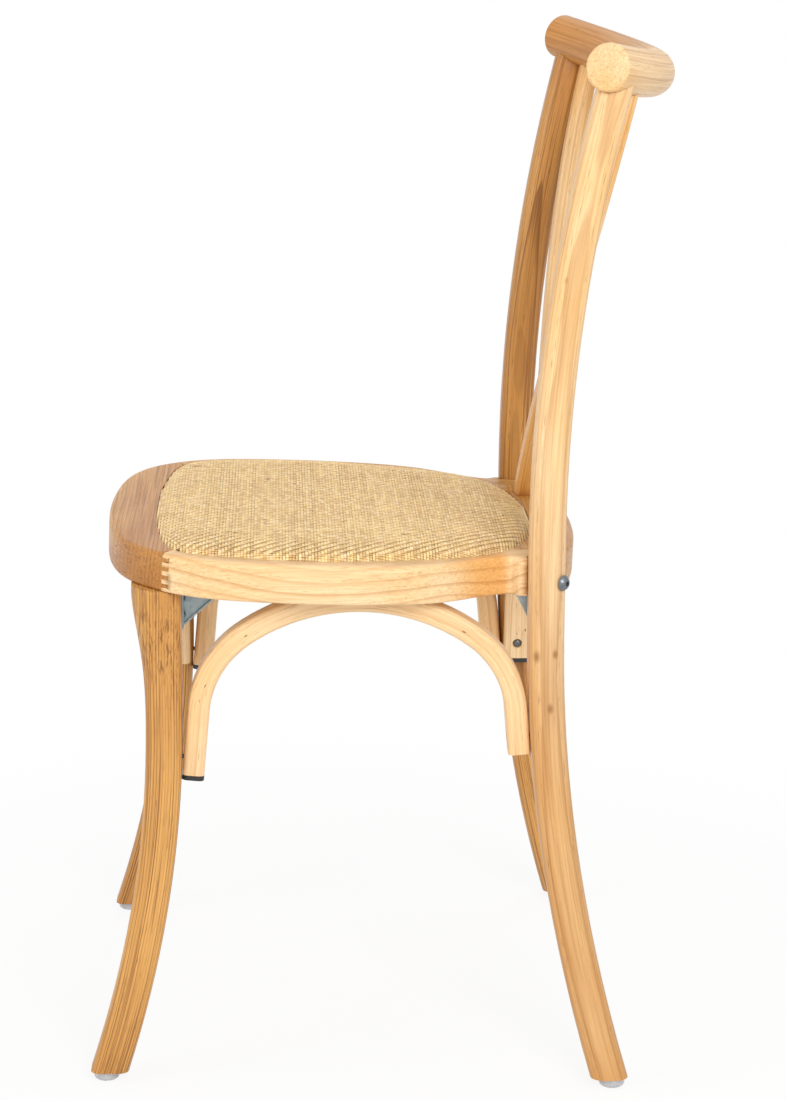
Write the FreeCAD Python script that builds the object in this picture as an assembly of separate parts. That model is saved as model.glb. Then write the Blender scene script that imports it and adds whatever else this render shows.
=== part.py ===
import FreeCAD, Part
import math
import os

from FreeCAD import Vector

# A cross back dining chair: bent posts with a round crest rail and two crossing slats,
# a finger jointed seat frame with a woven seat, sabre legs and four bentwood arches
# below the seat. Millimetres, +Z up, the chair faces -Y, +X is the sitter's left.
# Everything is laid out from the middle of the rear posts at the seat, and moved at the
# end so that the origin lies on the floor under the middle of the chair.

# Seat frame
seat_height = 462.0          # top of the frame at its front edge
seat_slope = 2.06            # degrees, falling to the back
seat_width = 448.0
seat_depth = 361.5           # front edge to the rear end of the side rails
frame_thickness = 33.0
front_rail_width = 42.0
weave_back_reach = 15.0      # the weave ends this far behind the side rails
side_rail_width = 19.0       # visible beside the woven seat
back_bow = 53.0              # how far the back rail bows out behind the side rails
back_bow_fall = 7.0          # the bow falls back this much half way to its ends
block_inset = 4.5            # the block in front of a post ends inside the post's middle
frame_top_round = 6.0
frame_bottom_round = 2.5
post_gap = 0.5               # gap between a post and its housing in the frame

# Finger joints of the seat frame
finger_layers = 9
finger_length = 8.5
glue_gap = 0.1
front_joint_back = 56.0      # behind the front edge, on the outer face
front_joint_turn = 30.0      # degrees, the joint runs inwards and backwards
front_joint_across = 0.875   # share of the seat's half width where the joint starts
back_joint_half = 139.0      # the back rail's joints lie this far from the middle

# Woven seat on its board
weave_rebate = 12.0          # depth of the ledge that carries the board
ledge_width = 18.0
board_thickness = 5.0
weave_edge = -2.0            # height of the weave at its edge above the frame
weave_crown = 8.5            # height of the weave at its middle above the frame
weave_shoulder = 45.0        # the weave rises over this width
fit_gap = 0.3

# Front legs
front_leg_size = 31.0
front_leg_corner = 8.0
front_leg_setback = 52.5     # leg centre behind the front edge of the seat
front_leg_splay = 0.1105     # outwards per millimetre down
front_leg_bend_start = 305.0
front_leg_bend_radius = 900.0
leg_head_across = 0.861      # share of the seat's half width that the head reaches
head_height = 100.0          # the head swells over this height below the frame
head_swell = 11.0
head_corner = 30.0
leg_tenon_diameter = 18.0
leg_tenon_length = 20.0
tenon_root = 4.0             # every round tenon starts this deep in its own piece
tenon_end_gap = 0.5          # and stops short of the bottom of its hole
cut_spare = 6.0              # a blank's surplus where another piece trims it

# Rear posts
post_width = 33.0
post_depth = 31.0
post_corner = 11.0
post_top_share = 0.93        # the post is this much thinner at the crest rail
post_half_spacing = 176.0
post_foot_spread = 61.5      # the foot stands this much further out than the seat end
post_foot_start = 380.0      # below this height the post sweeps back
post_foot_radius = 1250.0
post_back_start = 465.0      # above this height the post leans back
post_back_radius = 1520.0
post_back_spread = 10.0      # further out at the crest rail
post_tenon_diameter = 16.0
post_tenon_length = 24.0

# Crest rail
crest_diameter = 40.0
crest_half_length = 203.0
crest_bow = 60.5
crest_slope = 15.5           # degrees, the bow falls to the back
crest_end_height = 864.5
crest_end_round = 2.5
crest_setback = -3.0         # rail centre behind the post centre, at the post
crest_gap = 0.15

# Cross slats
slat_width = 22.0
slat_thickness = 17.0
slat_corner = 4.5
slat_top_half = 155.0
slat_cross_height = 575.0
slat_seat_setback = 2.0      # slat centre behind the post centre, at the seat
slat_lean = 0.078
slat_bend = 0.0001926
slat_tenon_diameter = 11.0
slat_tenon_length = 14.0

# Bentwood arches below the seat
arch_width = 25.0
arch_thickness = 19.0
arch_corner = 5.0
arch_shoulder_radius = 88.0
arch_shoulder_start = 35.0   # degrees from the crown
arch_lean = 5.0              # degrees, the ends lean out
arch_crown_sink = 4.5        # planed off the crown where it meets the frame
side_arch_half_spacing = 177.0
side_arch_front_end = 264.0
side_arch_back_end = 281.0
front_arch_end = 271.0
rear_arch_end = 275.0
arch_plane_rise = 40.0       # a cross arch is centred on its legs this far above its ends
rear_arch_setback = 1.0      # behind the middle of the posts there
arch_contact = 60.0          # an arch clears its leg over this height
cap_thickness = 4.0

# Foot glides
glide_height = 9.0
glide_diameter = 22.0
glide_flat_diameter = 15.0
glide_pin_diameter = 3.0
glide_pin_length = 14.0

# Post bolts
bolt_diameter = 6.0
bolt_length = 62.0
bolt_head_diameter = 13.5
bolt_head_height = 4.5
bolt_socket = 4.0
bolt_angle = 45.0
bolt_drop = 16.0             # below the top of the frame
bolt_seat_rise = 1.0         # its head is seated on a flat this far outside the corner
bolt_past_insert = 1.0
insert_diameter = 9.0
insert_length = 13.0
head_gap = 1.0               # room round a sunk head, across
driver_room = 12.0           # and above it, for the driver

# Screws
screw_diameter = 4.0
screw_head_diameter = 8.4
screw_head_height = 2.6
screw_length = 30.0
screw_sink = 3.0             # the heads of the arch screws lie this deep
end_screw_rise = 14.0        # above the arch's end
crown_screw_spacing = 56.0
small_screw_diameter = 3.0
small_screw_head_diameter = 6.0
small_screw_head_height = 1.8
small_screw_length = 14.0
board_screw_count = 8
board_screw_sink = 10.5      # the board's screws stand in deep holes in the ledge
recess_width = 1.1
recess_depth = 1.4
screw_clearance = 0.1

# Steel corner brackets
front_bracket_reach = 43.0   # along the frame
front_bracket_drop = 38.0    # down the leg
front_bracket_width = 18.0
front_bracket_end_width = 11.0
rear_bracket_reach = 27.0
rear_bracket_drop = 30.0
rear_bracket_width = 30.0
rear_bracket_end_width = 15.0
bracket_sheet = 1.5
bracket_lip = 3.0
bracket_gap = 0.1
bracket_inset = 1.0          # the front bracket's web starts behind the leg's inner face

slope = math.radians(seat_slope)
front_edge_y = -(seat_depth + post_gap + post_depth / 2)
seat_plane = FreeCAD.Placement(
    Vector(0, front_edge_y, seat_height),
    FreeCAD.Rotation(Vector(1, 0, 0), -seat_slope),
)


def seat_top(y):
    """Height of the seat frame's top at a place from front to back."""
    return seat_height - (y - front_edge_y) * math.tan(slope)


def seat_underside(y):
    """Height of the seat frame's underside at a place from front to back."""
    return seat_top(y) - frame_thickness / math.cos(slope)


def smooth_wire(points, start_tangent, end_tangent):
    """One smooth edge through a few points, with its mirror image, as a closed wire."""
    right = Part.BSplineCurve()
    right.interpolate(
        Points=points,
        InitialTangent=start_tangent,
        FinalTangent=end_tangent,
    )
    right = right.toShape()
    left = right.mirror(Vector(0, 0, 0), Vector(1, 0, 0))
    return Part.Wire(Part.__sortEdges__([right, left]))


def rounded_section(cx, cy, z, width, depth, radii):
    """A level rectangle with its own radius at each corner, counted from front right."""
    x0, x1 = cx - width / 2, cx + width / 2
    y0, y1 = cy - depth / 2, cy + depth / 2
    front_right, back_right, back_left, front_left = radii
    corners = (
        (x1, y0, -1, 1, front_right),
        (x1, y1, -1, -1, back_right),
        (x0, y1, 1, -1, back_left),
        (x0, y0, 1, 1, front_left),
    )
    ends = []
    for index, (x, y, sx, sy, radius) in enumerate(corners):
        centre = Vector(x + sx * radius, y + sy * radius, z)
        ends.append([
            centre + Vector(radius * math.cos(angle), radius * math.sin(angle), 0)
            for angle in (math.pi / 4 * (2 * index + step) for step in (-2, -1, 0))
        ])
    return closed_outline(ends)


def closed_outline(arcs):
    """Corner arcs, each given by three points, joined by straight lines."""
    edges = []
    for index, arc in enumerate(arcs):
        edges.append(Part.Arc(*arc).toShape())
        following = arcs[(index + 1) % len(arcs)]
        edges.append(Part.LineSegment(arc[2], following[0]).toShape())
    return Part.Wire(edges)


def loft(wires):
    return Part.makeLoft(wires, True, False)


def mirrored(shape):
    return shape.mirror(Vector(0, 0, 0), Vector(1, 0, 0))


def cylinder(start, direction, diameter, length):
    return Part.makeCylinder(diameter / 2, length, start, direction)


def heights(bottom, top, count):
    return [bottom + (top - bottom) * index / (count - 1) for index in range(count)]


# Seat frame

def seat_outline():
    """The frame's outer edge from the front to the housing of the post, and its bow."""
    half = seat_width / 2
    shape = (
        (0.0, 0.0), (0.31, 0.008), (0.55, 0.030), (0.745, 0.080), (0.875, 0.155),
        (0.946, 0.232), (0.987, 0.343), (1.0, 0.467), (0.993, 0.584), (0.962, 0.710),
        (0.911, 0.797), (0.853, 0.851), (0.792, 0.900), (0.750, 0.943), (0.739, 0.966),
    )
    side = [Vector(half * across, seat_depth * back, 0) for across, back in shape]
    block_x = post_half_spacing - block_inset
    block = Vector(block_x, seat_depth * 0.987, 0)
    end = Vector(block_x, seat_depth + post_depth * 0.8, 0)
    edge = Part.BSplineCurve()
    edge.interpolate(Points=side + [block], InitialTangent=Vector(1, 0, 0),
                     FinalTangent=Vector(0.35, 1, 0))
    bow_middle = Vector(0, seat_depth + back_bow, 0)
    bow_side = Vector(block_x * 0.55, bow_middle.y - back_bow_fall, 0)
    right = edge.toShape()
    edges = [right, Part.LineSegment(block, end).toShape()]
    edges += [mirrored(edge_shape) for edge_shape in edges]
    bow = Part.BSplineCurve()
    bow.interpolate(Points=[end, bow_side, bow_middle,
                            Vector(-bow_side.x, bow_side.y, 0), Vector(-end.x, end.y, 0)])
    edges.append(bow.toShape())
    return Part.Wire(Part.__sortEdges__(edges))


def weave_outline(inset, z):
    """The woven seat's edge, drawn in by an inset, at a height above the frame's top."""
    half = seat_width / 2 - side_rail_width
    length = seat_depth - front_rail_width + weave_back_reach
    shape = (
        (0.0, 0.0), (0.30, 0.003), (0.55, 0.015), (0.74, 0.030), (0.85, 0.052),
        (0.92, 0.094), (0.965, 0.185), (1.0, 0.415), (0.955, 0.580), (0.885, 0.735),
        (0.825, 0.818), (0.735, 0.890), (0.55, 0.955), (0.30, 0.990), (0.0, 1.0),
    )
    wide = (half - inset) / half
    long = (length - 2 * inset) / length
    points = [
        Vector(half * across * wide, front_rail_width + inset + length * back * long, z)
        for across, back in shape
    ]
    return smooth_wire(points, Vector(1, 0, 0), Vector(-1, 0, 0))


def prism(wire, height):
    return Part.Face(wire).extrude(Vector(0, 0, height))


def frame_ring():
    """The whole seat frame before it is divided into its four rails."""
    blank = prism(seat_outline(), -frame_thickness)
    rims = {"top": [], "bottom": []}
    for edge in blank.Edges:
        low, high = edge.BoundBox.ZMin, edge.BoundBox.ZMax
        if high - low < 0.1:
            rims["top" if high > -0.1 else "bottom"].append(edge)
    blank = blank.makeFillet(frame_top_round, rims["top"])
    bottom = [e for e in blank.Edges
              if e.BoundBox.ZMax < 0.1 - frame_thickness]
    blank = blank.makeFillet(frame_bottom_round, bottom)
    rebate = prism(weave_outline(0, 1.0), -weave_rebate - 1.0)
    well = prism(weave_outline(ledge_width, 1.0), -frame_thickness - 2.0)
    ring = blank.cut(rebate).cut(well)
    ring.Placement = seat_plane
    return ring


def post_housing():
    """The room that both rear posts take in the corners of the frame."""
    inner = post_half_spacing - post_width / 2 - post_gap
    front = -post_depth / 2 - post_gap
    size = post_width * 4
    box = Part.makeBox(size, size, size, Vector(inner, front, seat_top(0) - size / 2))
    return box.fuse(mirrored(box))


def layer_heights():
    step = frame_thickness / finger_layers
    return [(-step * (index + 1), step) for index in range(finger_layers)]


def front_share(shift):
    """Everything in front of the front joints, with alternate layers moved by a finger."""
    blocks = []
    turn = math.tan(math.radians(front_joint_turn))
    reach = seat_width
    corner_x = seat_width / 2 * front_joint_across
    for index, (z, step) in enumerate(layer_heights()):
        offset = shift + finger_length / 2 * (1 if index % 2 else -1)
        middle_y = front_joint_back + corner_x * turn + offset
        side_y = middle_y - reach * turn
        points = [Vector(-reach, -reach, z), Vector(reach, -reach, z),
                  Vector(reach, side_y, z), Vector(0, middle_y, z),
                  Vector(-reach, side_y, z), Vector(-reach, -reach, z)]
        blocks.append(Part.Face(Part.makePolygon(points)).extrude(Vector(0, 0, step)))
    share = blocks[0].multiFuse(blocks[1:])
    share.Placement = seat_plane
    return share


def back_share(shift):
    """Everything between the back joints, with alternate layers moved by a finger."""
    blocks = []
    start_y = seat_depth * 0.7
    for index, (z, step) in enumerate(layer_heights()):
        half = back_joint_half + shift + finger_length / 2 * (1 if index % 2 else -1)
        blocks.append(Part.makeBox(2 * half, seat_depth, step, Vector(-half, start_y, z)))
    share = blocks[0].multiFuse(blocks[1:])
    share.Placement = seat_plane
    return share


def frame_rails():
    ring = frame_ring().cut(post_housing())
    half_gap = glue_gap / 2
    front = ring.common(front_share(-half_gap))
    back = ring.common(back_share(-half_gap))
    sides = ring.cut(front_share(half_gap)).cut(back_share(half_gap))
    halves = sorted(sides.Solids, key=lambda solid: solid.CenterOfMass.x)
    return front, halves[-1], halves[0], back


def seat_board():
    board = prism(weave_outline(fit_gap, board_thickness - weave_rebate), -board_thickness)
    board.Placement = seat_plane
    return board


def woven_seat():
    """The woven seat as a plain pillow: straight at the edge, then crowned."""
    low = board_thickness - weave_rebate
    steps = ((0.0, 0.0), (0.10, 0.42), (0.35, 0.78), (0.70, 0.95), (1.0, 1.0))
    wires = [weave_outline(fit_gap, low)]
    rise = weave_crown - weave_edge
    for across, up in steps:
        inset = fit_gap + weave_shoulder * across
        wires.append(weave_outline(inset, weave_edge + rise * up * 0.94))
    lower = Part.makeLoft(wires[:2], True, True)
    upper = loft(wires[1:])
    pillow = lower.fuse(upper).removeSplitter()
    pillow.Placement = seat_plane
    return pillow


# Legs and posts

def front_leg_centre(z):
    """Centre of the leg's plain section: it splays out and sweeps forward to the foot."""
    leg_y = front_edge_y + front_leg_setback
    top_z = seat_underside(leg_y)
    top_x = seat_width / 2 * leg_head_across - head_swell - front_leg_size / 2
    below = max(0.0, front_leg_bend_start - z)
    return top_x + front_leg_splay * (top_z - z), leg_y - below ** 2 / (2 * front_leg_bend_radius)


def front_leg_rake(z):
    return max(0.0, front_leg_bend_start - z) / front_leg_bend_radius


def front_leg():
    leg_y = front_edge_y + front_leg_setback
    top_z = seat_underside(leg_y)
    wires = []
    for z in heights(glide_height, top_z + cut_spare, 12):
        x, y = front_leg_centre(z)
        depth = front_leg_size * math.hypot(1, front_leg_rake(z))
        share = min(1.0, max(0.0, (z - top_z + head_height) / head_height))
        swell = head_swell * share * share * (3 - 2 * share)
        corner = front_leg_corner + (head_corner - front_leg_corner) * share
        wires.append(rounded_section(
            x + swell / 2, y - swell / 2, z, front_leg_size + swell, depth + swell,
            (corner, front_leg_corner, front_leg_corner, front_leg_corner)))
    leg = loft(wires).cut(above_underside())
    return leg.fuse(leg_tenon(0, 0))


def leg_tenon(grow, deeper):
    """The round tenon on the leg's head, or the hole for it in the frame."""
    return cylinder(leg_tenon_base() - Vector(0, 0, tenon_root), Vector(0, 0, 1),
                    leg_tenon_diameter + 2 * grow, leg_tenon_length + tenon_root + deeper)


def leg_tenon_base():
    leg_y = front_edge_y + front_leg_setback
    x, y = front_leg_centre(seat_underside(leg_y))
    return Vector(x, y, seat_underside(y))


def above_underside():
    """All the room above the frame's underside."""
    size = 3 * seat_width
    block = Part.makeBox(size, size, size / 4,
                         Vector(-size / 2, -size / 3, -frame_thickness))
    block.Placement = seat_plane
    return block


def post_centre(z):
    """Centre of the rear post: upright at the seat, swept back above and below it."""
    above = max(0.0, z - post_back_start)
    below = max(0.0, post_foot_start - z)
    y = above ** 2 / (2 * post_back_radius) + below ** 2 / (2 * post_foot_radius)
    under_seat = max(0.0, seat_top(0) - z) / (seat_top(0) - glide_height)
    over_seat = max(0.0, z - seat_top(0)) / (crest_end_height - seat_top(0))
    x = post_half_spacing + post_foot_spread * under_seat ** 2
    return x + post_back_spread * over_seat ** 2, y


def post_rake(z):
    above = max(0.0, z - post_back_start) / post_back_radius
    below = max(0.0, post_foot_start - z) / post_foot_radius
    return above - below


def back_post():
    top = crest_point(post_half_spacing + post_back_spread).z
    wires = []
    for z in heights(glide_height, seat_underside(0), 8)[:-1] + heights(
            seat_underside(0), top, 10):
        x, y = post_centre(z)
        above = max(0.0, z - seat_top(0)) / (top - seat_top(0))
        share = 1 - (1 - post_top_share) * above
        depth = post_depth * math.hypot(1, post_rake(z)) * share
        wires.append(rounded_section(x, y, z, post_width * share, depth, [post_corner] * 4))
    return loft(wires).cut(crest_tube(crest_gap)).fuse(post_tenon(0, 0))


def post_tenon(grow, deeper):
    """The round tenon on the post's top, or the hole for it in the crest rail."""
    top = crest_point(post_half_spacing + post_back_spread).z
    x, y = post_centre(top)
    axis = Vector(0, post_rake(top), 1).normalize()
    start = Vector(x, y, top) - axis * (crest_diameter / 2 + tenon_root)
    return cylinder(start, axis, post_tenon_diameter + 2 * grow,
                    post_tenon_length + tenon_root + deeper)


# Crest rail

def crest_radius():
    return (crest_half_length ** 2 + crest_bow ** 2) / (2 * crest_bow)


def crest_placement():
    x = post_half_spacing + post_back_spread
    radius = crest_radius()
    at_post = math.sqrt(radius ** 2 - x ** 2) - (radius - crest_bow)
    turn = math.radians(crest_slope)
    z = crest_end_height
    y = post_centre(z)[1] + crest_setback - at_post * math.cos(turn)
    return FreeCAD.Placement(Vector(0, y, z), FreeCAD.Rotation(Vector(1, 0, 0), -crest_slope))


def crest_point(x):
    """A point of the crest rail's centre line."""
    radius = crest_radius()
    bow = math.sqrt(radius ** 2 - x ** 2) - (radius - crest_bow)
    return crest_placement().multVec(Vector(x, bow, 0))


def flat_crest_tube(grow):
    """The crest rail's bar, still level and bowed about its own centre."""
    radius = crest_radius()
    half_angle = math.degrees(math.asin(crest_half_length / radius))
    centre = Vector(0, crest_bow - radius, 0)
    start = centre + Vector(radius, 0, 0)
    circle = Part.Circle(start, Vector(0, 1, 0), crest_diameter / 2 + grow)
    face = Part.Face(Part.Wire([circle.toShape()]))
    tube = face.revolve(centre, Vector(0, 0, 1), 2 * half_angle)
    tube.rotate(centre, Vector(0, 0, 1), 90 - half_angle)
    return tube


def crest_tube(grow):
    tube = flat_crest_tube(grow)
    tube.Placement = crest_placement().multiply(tube.Placement)
    return tube


def crest_rail():
    tube = flat_crest_tube(0)
    ends = [edge for edge in tube.Edges
            if isinstance(edge.Curve, Part.Circle)
            and abs(edge.Curve.Radius - crest_diameter / 2) < 0.01]
    tube = tube.makeFillet(crest_end_round, ends)
    tube.Placement = crest_placement().multiply(tube.Placement)
    return tube


# Cross slats

def slat_start():
    return seat_top(0)


def slat_centre(z):
    """Centre of the slat that starts at the left of the crest rail."""
    top = crest_point(slat_top_half).z
    share = (z - slat_cross_height) / (top - slat_cross_height)
    height = z - slat_start()
    x = slat_top_half * math.sin(math.pi / 2 * share)
    y = slat_seat_setback + slat_lean * height + slat_bend * height ** 2
    return x, y


def slat_steps(z):
    ahead, behind = slat_centre(z + 1), slat_centre(z - 1)
    return (ahead[0] - behind[0]) / 2, (ahead[1] - behind[1]) / 2


def slat_blank(grow):
    top = crest_point(slat_top_half).z
    wires = []
    for z in heights(slat_start() - cut_spare, top, 15):
        x, y = slat_centre(z)
        step_x, step_y = slat_steps(z)
        wires.append(rounded_section(
            x, y, z, (slat_width + 2 * grow) * math.hypot(1, step_x),
            (slat_thickness + 2 * grow) * math.hypot(1, step_y), [slat_corner] * 4))
    return loft(wires)


def lap_block():
    """All the room behind the middle of the slats where they cross."""
    x, y = slat_centre(slat_cross_height)
    step_y = slat_steps(slat_cross_height)[1]
    size = slat_width * 6
    block = Part.makeBox(size, size, size, Vector(-size / 2, 0, -size / 2))
    turn = FreeCAD.Rotation(Vector(1, 0, 0), -math.degrees(math.atan(step_y)))
    block.Placement = FreeCAD.Placement(Vector(x, y, slat_cross_height), turn)
    return block


def slat_tenon_axes():
    """Start and direction of the slat's two round tenons."""
    top = crest_point(slat_top_half).z
    x, y = slat_centre(top)
    step_x, step_y = slat_steps(top)
    up = Vector(step_x, step_y, 1).normalize()
    upper = (Vector(x, y, top) - up * (crest_diameter / 2 + tenon_root), up)
    low_x, low_y = slat_centre(slat_start())
    lower = (Vector(low_x, low_y, seat_top(low_y) + 2 * tenon_root), Vector(0, 0, -1))
    return upper, lower


def slat_tenons(grow, deeper):
    upper, lower = slat_tenon_axes()
    diameter = slat_tenon_diameter + 2 * grow
    top = cylinder(upper[0], upper[1], diameter, slat_tenon_length + tenon_root + deeper)
    bottom = cylinder(lower[0], lower[1], diameter,
                      slat_tenon_length + 2 * tenon_root + deeper)
    return top, bottom


def cross_slats():
    blank = slat_blank(0)
    top, bottom = slat_tenons(0, 0)
    size = 4 * (seat_width + crest_end_height)
    above_seat = Part.makeBox(size, size, size, Vector(-size / 2, -size / 2, glue_gap))
    above_seat.Placement = seat_plane
    blank = blank.common(above_seat).cut(crest_tube(crest_gap))
    slat = blank.fuse(top).fuse(bottom)
    other = mirrored(slat)
    room = slat_blank(fit_gap / 2)
    behind = lap_block()
    front_slat = slat.cut(mirrored(room).common(behind))
    back_slat = other.cut(room.cut(behind))
    screw_hole = cylinder(*slat_screw_line(), small_screw_diameter + 2 * screw_clearance,
                          small_screw_length + 1.0)
    return front_slat.cut(screw_hole), back_slat.cut(screw_hole)


def slat_screw_line():
    x, y = slat_centre(slat_cross_height)
    step_y = slat_steps(slat_cross_height)[1]
    out = Vector(0, 1, -step_y).normalize()
    return Vector(x, y, slat_cross_height) + out * (slat_thickness / 2), out * -1


# Arches

def arch_section(origin, along, across):
    """The strip's rounded section at one end, square to its length."""
    out = along.cross(across).normalize()
    half_w, half_t, radius = arch_width / 2, arch_thickness / 2, arch_corner
    arcs = []
    for sx, sy, start in ((1, -1, -90), (1, 1, 0), (-1, 1, 90), (-1, -1, 180)):
        centre = (sx * (half_w - radius), sy * (half_t - radius))
        arc = []
        for step in (0, 45, 90):
            angle = math.radians(start + step)
            u = centre[0] + radius * math.cos(angle)
            v = centre[1] + radius * math.sin(angle)
            arc.append(origin + across * u + out * v)
        arcs.append(arc)
    return closed_outline(arcs)


def arch_path(half_span, rise, lean, right_drop):
    """Half a span, then a crown arc, two shoulder arcs and two straight leaning ends.

    The path lies in a plane with u along the span and v up, its crown at the origin.
    The left end reaches down by the rise, and the right end stops short by its drop.
    """
    first = math.radians(arch_shoulder_start)
    last = math.pi / 2 - lean
    shoulder = arch_shoulder_radius
    wide = shoulder * (math.sin(last) - math.sin(first))
    deep = shoulder * (math.cos(first) - math.cos(last))
    lean_out, lean_down = math.cos(last), math.sin(last)
    ratio = lean_out / lean_down
    crown = (half_span - wide - (rise - deep) * ratio) / (
        math.sin(first) - (1 - math.cos(first)) * ratio)
    straight = (rise - deep - crown * (1 - math.cos(first))) / lean_down

    def crown_point(angle):
        return crown * math.sin(angle), -crown * (1 - math.cos(angle))

    def shoulder_point(angle):
        u0, v0 = crown_point(first)
        return (u0 + shoulder * (math.sin(angle) - math.sin(first)),
                v0 - shoulder * (math.cos(first) - math.cos(angle)))

    knee = shoulder_point(last)
    middle = shoulder_point((first + last) / 2)
    sides = []
    for drop in (0.0, right_drop):
        length = straight - drop / lean_down
        end = (knee[0] + length * lean_out, knee[1] - length * lean_down)
        sides.append((end, knee, middle, crown_point(first)))
    return sides


def arch_strip(place, side, sides):
    """Sweep the strip along the path. Place maps u and v to the chair's own axes."""
    (left_end, left_knee, left_middle, left_start) = [(-u, v) for u, v in sides[0]]
    (right_end, right_knee, right_middle, right_start) = sides[1]
    top = (0.0, 0.0)
    edges = [
        Part.LineSegment(place(*left_end), place(*left_knee)).toShape(),
        Part.Arc(place(*left_knee), place(*left_middle), place(*left_start)).toShape(),
        Part.Arc(place(*left_start), place(*top), place(*right_start)).toShape(),
        Part.Arc(place(*right_start), place(*right_middle), place(*right_knee)).toShape(),
        Part.LineSegment(place(*right_knee), place(*right_end)).toShape(),
    ]
    path = Part.Wire(edges)
    along = (place(*left_knee) - place(*left_end)).normalize()
    section = arch_section(place(*left_end), along, side)
    return path.makePipeShell([section], True, False)


def arch_reach(face, end_z, lean):
    """How far out an arch's end may stand so that its leaning part clears the leg."""
    rises = heights(0.0, arch_contact, 7)
    closest = min(face(end_z + rise) + rise * math.tan(lean) for rise in rises)
    return closest - arch_thickness / 2 / math.cos(lean) - fit_gap


def side_lean():
    return math.radians(arch_lean)


def side_arch_geometry():
    """Where the side arch's path lies between the two legs."""
    front_end = -arch_reach(lambda z: -front_leg_back_face(z), side_arch_front_end, side_lean())
    back_end = arch_reach(post_front_face, side_arch_back_end, side_lean())
    extra = (side_arch_back_end - side_arch_front_end) * math.tan(side_lean())
    middle = (front_end + back_end + extra) / 2
    half_span = middle - front_end
    crown_z = seat_underside(middle) - arch_thickness / 2 + arch_crown_sink
    return middle, half_span, crown_z


def front_leg_back_face(z):
    return front_leg_centre(z)[1] + front_leg_size / 2 * math.hypot(1, front_leg_rake(z))


def post_front_face(z):
    return post_centre(z)[1] - post_depth / 2 * math.hypot(1, post_rake(z))


def side_arch():
    middle, half_span, crown_z = side_arch_geometry()
    rise = crown_z - side_arch_front_end
    sides = arch_path(half_span, rise, side_lean(), side_arch_back_end - side_arch_front_end)
    strip = arch_strip(
        lambda u, v: Vector(side_arch_half_spacing, middle + u, crown_z + v),
        Vector(1, 0, 0), sides)
    return strip.cut(above_underside()), sides


def cross_lean(end_z, inner_face):
    """The ends of a front or rear arch lean as much as the legs that carry them."""
    run = 30.0
    return math.atan((inner_face(end_z) - inner_face(end_z + run)) / run)


def cross_arch(plane_y, end_z, inner_face):
    """An arch between two legs of the front or the back pair."""
    lean = cross_lean(end_z, inner_face)
    half_span = arch_reach(inner_face, end_z, lean)
    crown_z = seat_underside(plane_y) - arch_thickness / 2 + arch_crown_sink
    sides = arch_path(half_span, crown_z - end_z, lean, 0.0)
    strip = arch_strip(lambda u, v: Vector(u, plane_y, crown_z + v), Vector(0, 1, 0), sides)
    return strip.cut(above_underside())


def front_inner_face(z):
    return front_leg_centre(z)[0] - front_leg_size / 2


def rear_inner_face(z):
    return post_centre(z)[0] - post_width / 2


def front_arch_y():
    return front_leg_centre(front_arch_end + arch_plane_rise)[1]


def rear_arch_y():
    return post_centre(rear_arch_end + arch_plane_rise)[1] + rear_arch_setback


def end_cap(centre, down, across):
    """A black cap under a cut end of an arch."""
    up = down * -1
    section = arch_section(centre + down * fit_gap, up, across)
    cap = Part.Face(section).extrude(down * cap_thickness)
    return cap


# Fasteners

def cross_recess(top, axis, width):
    """A cross shaped recess for a screwdriver, cut into a head from its top."""
    side = axis.cross(Vector(0.3, 0.5, 0.81)).normalize()
    other = axis.cross(side)
    blades = []
    for first, second in ((side, other), (other, side)):
        corner = top - first * width * 1.5 - second * (recess_width / 2)
        points = [corner, corner + first * width * 3,
                  corner + first * width * 3 + second * recess_width,
                  corner + second * recess_width, corner]
        blades.append(Part.Face(Part.makePolygon(points)).extrude(axis * recess_depth))
    return blades[0].fuse(blades[1])


def domed_pin(seat_point, axis, diameter, head, head_height, length, tip):
    """A shank that follows axis, with a domed head whose flat lies on the seat point."""
    shank = diameter / 2
    sphere = (head ** 2 / 4 + head_height ** 2) / (2 * head_height)
    half_angle = math.asin(head / 2 / sphere) / 2
    on_dome = Vector(sphere * math.sin(half_angle), 0,
                     sphere * (1 - math.cos(half_angle)) - head_height)
    corners = [Vector(0, 0, -head_height), Vector(head / 2, 0, 0), Vector(shank, 0, 0),
               Vector(shank, 0, length - tip), Vector(shank / 4, 0, length),
               Vector(0, 0, length), Vector(0, 0, -head_height)]
    edges = [Part.Arc(corners[0], on_dome, corners[1]).toShape()]
    for start, end in zip(corners[1:], corners[2:]):
        edges.append(Part.LineSegment(start, end).toShape())
    pin = Part.Face(Part.Wire(edges)).revolve(Vector(0, 0, 0), Vector(0, 0, 1), 360)
    pin.Placement = FreeCAD.Placement(
        seat_point, FreeCAD.Rotation(Vector(0, 0, 1), axis))
    return pin


def pan_screw(seat_point, axis, diameter, head, head_height, length):
    screw = domed_pin(seat_point, axis, diameter, head, head_height, length, diameter)
    return screw.cut(cross_recess(seat_point - axis * head_height, axis, recess_width))


def wood_screw(seat_point, axis):
    return pan_screw(seat_point, axis, screw_diameter, screw_head_diameter,
                     screw_head_height, screw_length)


def small_screw(seat_point, axis):
    return pan_screw(seat_point, axis, small_screw_diameter, small_screw_head_diameter,
                     small_screw_head_height, small_screw_length)


def screw_room(seat_point, axis, diameter, length, head):
    """The hole for a screw, with room for its head and for the driver."""
    hole = cylinder(seat_point - axis * tenon_end_gap, axis, diameter + 2 * screw_clearance,
                    length + 2 * tenon_end_gap)
    return hole.fuse(cylinder(seat_point, axis * -1, head + head_gap, driver_room))


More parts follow.
